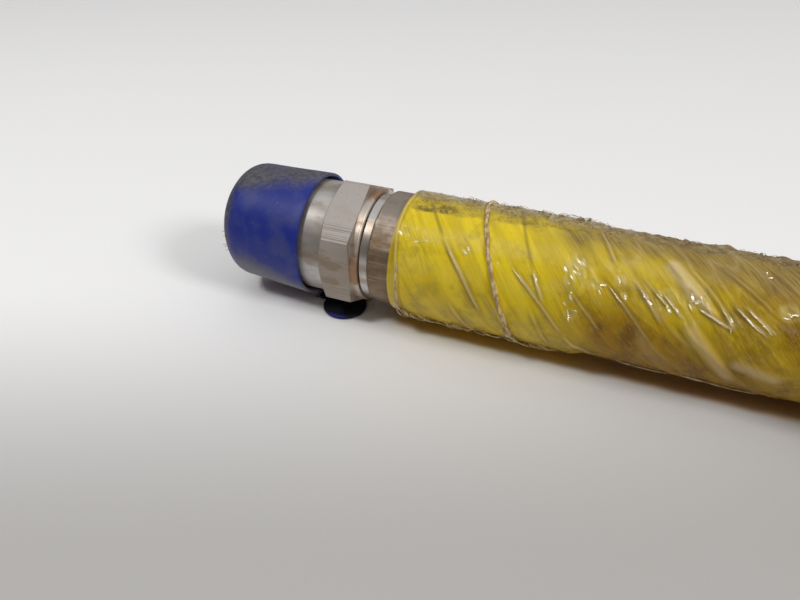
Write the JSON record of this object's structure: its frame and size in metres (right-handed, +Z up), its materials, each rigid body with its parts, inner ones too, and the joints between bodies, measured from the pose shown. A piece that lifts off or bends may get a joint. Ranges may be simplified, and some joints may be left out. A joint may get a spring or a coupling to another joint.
{
  "type": "hydraulic hose assembly",
  "caption": "Braided hydraulic hose with a crimped swivel-nut fitting and push-on cap at each end, in a yellow sleeve under clear film, lying in a half loop.",
  "frame": {"origin": "on the near fitting's axis, at the start of the thread in its swivel nut", "axes": "+X along the near fitting's axis, from its mouth towards the hose; +Z up from the floor that the hose lies on; the second fitting lies at -Y"},
  "size_m": [0.4624, 0.4876, 0.0476],
  "materials": {
    "cap_plastic": "matt, dusty",
    "nut_steel": "zinc plated, turned",
    "nipple_steel": "zinc plated, turned, bright",
    "ferrule_steel": "zinc plated, crimped, dull",
    "wire_steel": "drawn wire",
    "braid_wire": "brass-coated steel wire, braided",
    "seal_rubber": "smooth, black",
    "hose_rubber": "matt, black, fabric-marked",
    "sleeve_yellow": "satin",
    "film_clear": "clear, glossy, dirty",
    "tie_film": "twisted film, dirty"
  },
  "bodies": {
    "hose": {"nipple_a": "nipple_steel", "nose_seal_a": "seal_rubber", "ferrule_a": "ferrule_steel", "inner_tube": "hose_rubber", "inner_braid": "braid_wire", "interlayer": "hose_rubber", "outer_braid": "braid_wire", "cover": "hose_rubber", "yellow_sleeve": "sleeve_yellow", "clear_film": "film_clear", "tie_a": "tie_film", "tie_b": "tie_film", "nipple_b": "nipple_steel", "nose_seal_b": "seal_rubber", "ferrule_b": "ferrule_steel"},
    "nut_a": {"nut_a": "nut_steel", "lock_wire_a": "wire_steel"},
    "cap_a": {"cap_a": "cap_plastic"},
    "nut_b": {"nut_b": "nut_steel", "lock_wire_b": "wire_steel"},
    "cap_b": {"cap_b": "cap_plastic"}
  },
  "joints": [
    {"name": "nut_a_swivel", "type": "hinge", "parent": "hose", "child": "nut_a", "pos_m": [0, 0, 0], "axis": [1, 0, 0], "continuous": true},
    {"name": "cap_a_pull", "type": "slide", "parent": "nut_a", "child": "cap_a", "axis": [-1, 0, 0], "range_m": [0, 0.06]},
    {"name": "nut_b_swivel", "type": "hinge", "parent": "hose", "child": "nut_b", "pos_m": [0, -0.44, 0], "axis": [1, 0, 0], "continuous": true},
    {"name": "cap_b_pull", "type": "slide", "parent": "nut_b", "child": "cap_b", "axis": [-1, 0, 0], "range_m": [0, 0.06]}
  ]
}
